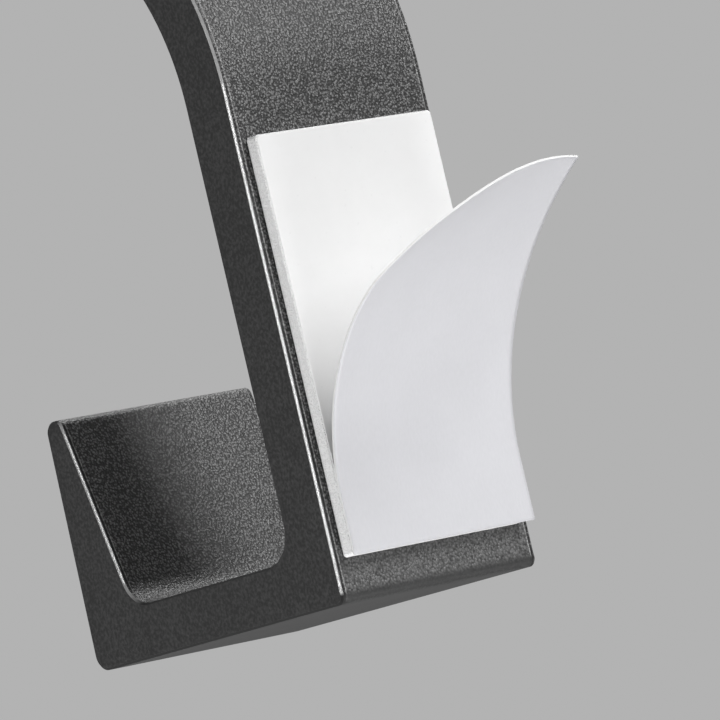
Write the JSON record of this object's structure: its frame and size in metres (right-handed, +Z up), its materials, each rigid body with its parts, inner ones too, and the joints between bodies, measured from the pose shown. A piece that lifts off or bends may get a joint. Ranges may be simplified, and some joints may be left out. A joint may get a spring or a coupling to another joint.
{
  "type": "adhesive wall hook",
  "caption": "Moulded plastic wall hook with a forward-curving arm above, a J-shaped cradle with a tapered lip below, and a foam adhesive pad whose release liner peels off.",
  "frame": {"origin": "centre of the tape pad's outer face, which sticks to the wall", "axes": "+Y into the wall, square to the pad's outer face; +Z up along the hook's flat back; +X across the hook's width"},
  "size_m": [0.0334, 0.0857, 0.1162],
  "materials": {
    "moulded_plastic": "charcoal moulding with a spark-eroded grain and smooth rounded edges",
    "adhesive_film": "clear tacky acrylic film over white foam",
    "pad_foam": "white closed-cell foam",
    "liner_paper": "light-grey coated release paper, white on its inner face and cut edges"
  },
  "bodies": {
    "hook": {"hook_body": "moulded_plastic", "hook_side_adhesive": "adhesive_film", "foam_core": "pad_foam", "wall_side_adhesive": "adhesive_film"},
    "liner": {"release_liner": "liner_paper"}
  },
  "joints": [
    {"name": "liner_peel", "type": "hinge", "parent": "hook", "child": "liner", "pos_m": [0, 0.00005, -0.02775], "axis": [-1, 0, 0], "range_deg": [0, 110]}
  ]
}
